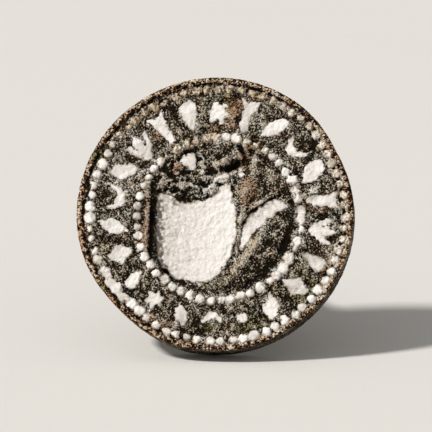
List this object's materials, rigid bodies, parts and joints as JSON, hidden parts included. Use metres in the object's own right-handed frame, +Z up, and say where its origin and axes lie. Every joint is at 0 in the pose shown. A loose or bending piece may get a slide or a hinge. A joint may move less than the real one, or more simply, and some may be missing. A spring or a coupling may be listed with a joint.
{
  "type": "seal matrix",
  "caption": "Round engraved seal matrix with white-filled cuts, on a flared hexagonal stem with a moulded collar and a pierced loop.",
  "frame": {"origin": "on the table, under the middle of the seal's box as it lies on its side", "axes": "+X to the right across the engraved face, +Y back along the handle, +Z up; the face looks along -Y and leans back 22.4 degrees"},
  "size_m": [0.022, 0.0288, 0.0211],
  "materials": {
    "die_metal": "dark granular patina with tan, green and red-brown patches",
    "handle_metal": "worn brown patina, rubbed brighter on the arrises",
    "white_infill": "matt, slightly lumpy chalk or plaster"
  },
  "bodies": {
    "root": {"die": "die_metal", "handle_stem": "handle_metal", "infill_border_01_rosette": "white_infill", "infill_border_02_dart": "white_infill", "infill_border_03_leaf": "white_infill", "infill_border_04_crescent": "white_infill", "infill_border_05_leaf": "white_infill", "infill_border_06_dart": "white_infill", "infill_border_07_palmette": "white_infill", "infill_border_08_petal": "white_infill", "infill_border_09_lozenge": "white_infill", "infill_border_10_leaf": "white_infill", "infill_border_11_pellet": "white_infill", "infill_border_12_crescent": "white_infill", "infill_border_13_leaf": "white_infill", "infill_border_14_rosette": "white_infill", "infill_border_15_petal": "white_infill", "infill_border_16_lozenge": "white_infill", "infill_border_17_leaf": "white_infill", "infill_border_18_crescent": "white_infill", "infill_border_19_leaf": "white_infill", "infill_border_20_palmette": "white_infill", "infill_border_21_dart": "white_infill", "infill_border_22_petal": "white_infill", "infill_figure_body": "white_infill", "infill_figure_head": "white_infill", "infill_figure_neck": "white_infill", "infill_figure_pellet_1": "white_infill", "infill_figure_pellet_2": "white_infill", "infill_figure_wing": "white_infill", "infill_inner_beads": "white_infill", "infill_outer_beads": "white_infill", "stem_collar": "handle_metal", "suspension_loop": "handle_metal"}
  },
  "joints": []
}
